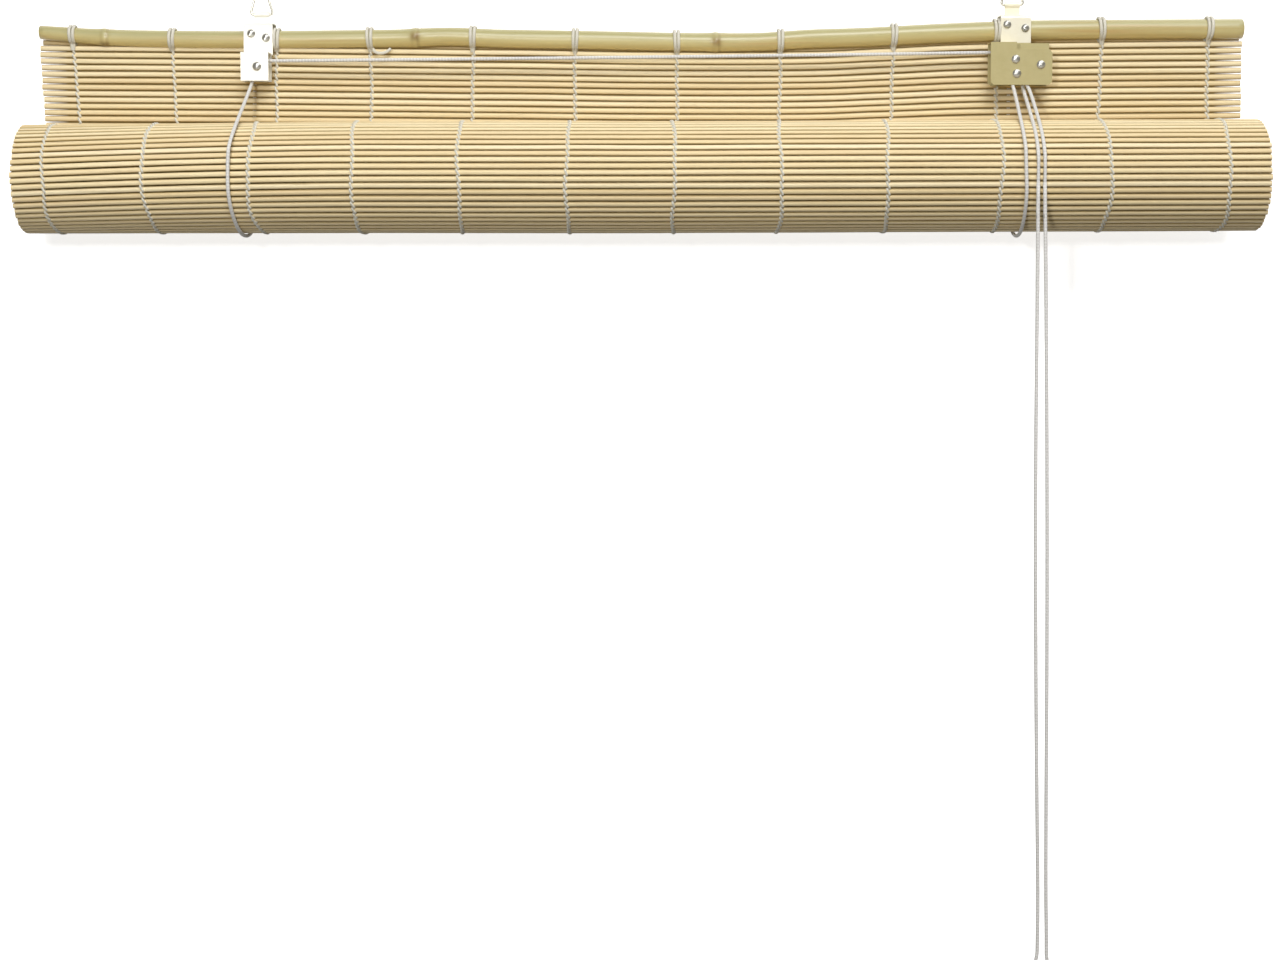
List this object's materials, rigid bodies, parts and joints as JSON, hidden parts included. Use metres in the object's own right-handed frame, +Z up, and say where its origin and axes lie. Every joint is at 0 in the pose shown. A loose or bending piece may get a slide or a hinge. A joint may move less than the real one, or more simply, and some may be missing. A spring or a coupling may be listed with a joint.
{
  "type": "bamboo roll up blind",
  "caption": "Roll-up blind of thin bamboo slats bound with threads, drawn up under a natural bamboo head pole with strap brackets, pulleys, a cord lock and white pull cords.",
  "frame": {"origin": "on the line through the inner tops of the two wire hanger rings, where the hooks bear, over the middle of the head pole", "axes": "+X to the right along the head pole as seen from the front, -Y out of the front towards the room, +Z up"},
  "size_m": [0.8, 0.0978, 0.7378],
  "materials": {
    "bamboo_pole": "glossy natural bamboo skin",
    "bamboo_slat": "satin split bamboo",
    "warp_thread": "twisted cotton thread",
    "pale_plating": "pale cream coated sheet steel",
    "gold_plating": "dull olive-gold passivated sheet steel",
    "bright_fastener": "bright plated steel",
    "ring_wire": "bright plated wire",
    "pulley_plastic": "white moulded plastic",
    "cord": "white braided cotton cord"
  },
  "bodies": {
    "hangers": {"hanger_ring_left": "ring_wire", "hanger_ring_right": "ring_wire"},
    "headrail": {"head_pole": "bamboo_pole", "slat_01": "bamboo_slat", "slat_02": "bamboo_slat", "slat_03": "bamboo_slat", "slat_04": "bamboo_slat", "slat_05": "bamboo_slat", "slat_06": "bamboo_slat", "slat_07": "bamboo_slat", "slat_08": "bamboo_slat", "slat_09": "bamboo_slat", "slat_10": "bamboo_slat", "slat_11": "bamboo_slat", "slat_12": "bamboo_slat", "slat_13": "bamboo_slat", "slat_14": "bamboo_slat", "slat_15": "bamboo_slat", "slat_16": "bamboo_slat", "slat_17": "bamboo_slat", "slat_18": "bamboo_slat", "slat_19": "bamboo_slat", "slat_20": "bamboo_slat", "warp_01": "warp_thread", "warp_02": "warp_thread", "warp_03": "warp_thread", "warp_04": "warp_thread", "warp_05": "warp_thread", "warp_06": "warp_thread", "warp_07": "warp_thread", "warp_08": "warp_thread", "warp_09": "warp_thread", "warp_10": "warp_thread", "warp_11": "warp_thread", "warp_12": "warp_thread", "strap_left": "pale_plating", "strap_right": "pale_plating", "cheek_left": "pale_plating", "cheek_right": "gold_plating", "rivet_left": "bright_fastener", "lock_rivets": "bright_fastener", "pole_screws": "bright_fastener", "lift_knots": "cord", "cross_cord": "cord", "lock_cord": "cord", "pull_cord_rear": "cord", "pull_cord_front": "cord", "cord_hank": "cord", "end_knot": "cord"},
    "left_pulley": {"pulley_left": "pulley_plastic"},
    "right_pulley": {"pulley_right": "pulley_plastic"},
    "anvil": {"anvil_roller": "pulley_plastic"},
    "cam": {"lock_cam": "gold_plating"},
    "lift_sling": {"lift_cord_left": "cord", "lift_cord_right": "cord", "lead_rear": "cord", "lead_front": "cord"},
    "roll": {"rolled_mat": "bamboo_slat", "bottom_pole": "bamboo_pole"}
  },
  "joints": [
    {"name": "blind_swing", "type": "hinge", "parent": "hangers", "child": "headrail", "pos_m": [-0.2537, 0, -0.02289], "axis": [-0.9999, 0, -0.0129], "range_deg": [0, 20]},
    {"name": "roll_lift", "type": "slide", "parent": "headrail", "child": "lift_sling", "axis": [0, 0, 1], "range_m": [0, 0.0145], "deforming": ["lift_cord_left", "lift_cord_right", "lead_rear", "lead_front"]},
    {"name": "roll_turn", "type": "hinge", "parent": "lift_sling", "child": "roll", "pos_m": [0, -0.0436, -0.1314], "axis": [-1, 0, 0], "range_deg": [0, 24]},
    {"name": "left_pulley_turn", "type": "hinge", "parent": "headrail", "child": "left_pulley", "pos_m": [-0.2527, -0.0194, -0.059], "axis": [0, 1, 0], "continuous": true},
    {"name": "right_pulley_turn", "type": "hinge", "parent": "headrail", "child": "right_pulley", "pos_m": [0.2463, -0.0199, -0.0543], "axis": [0, 1, 0], "continuous": true},
    {"name": "anvil_turn", "type": "hinge", "parent": "headrail", "child": "anvil", "pos_m": [0.2471, -0.0199, -0.0637], "axis": [0, 1, 0], "continuous": true},
    {"name": "cam_release", "type": "hinge", "parent": "headrail", "child": "cam", "pos_m": [0.2629, -0.0199, -0.0579], "axis": [0, -1, 0], "range_deg": [0, 35]}
  ],
  "couplings": [
    {"joint": "roll_turn", "follows": "roll_lift", "rad_per_m": 27.473}
  ]
}
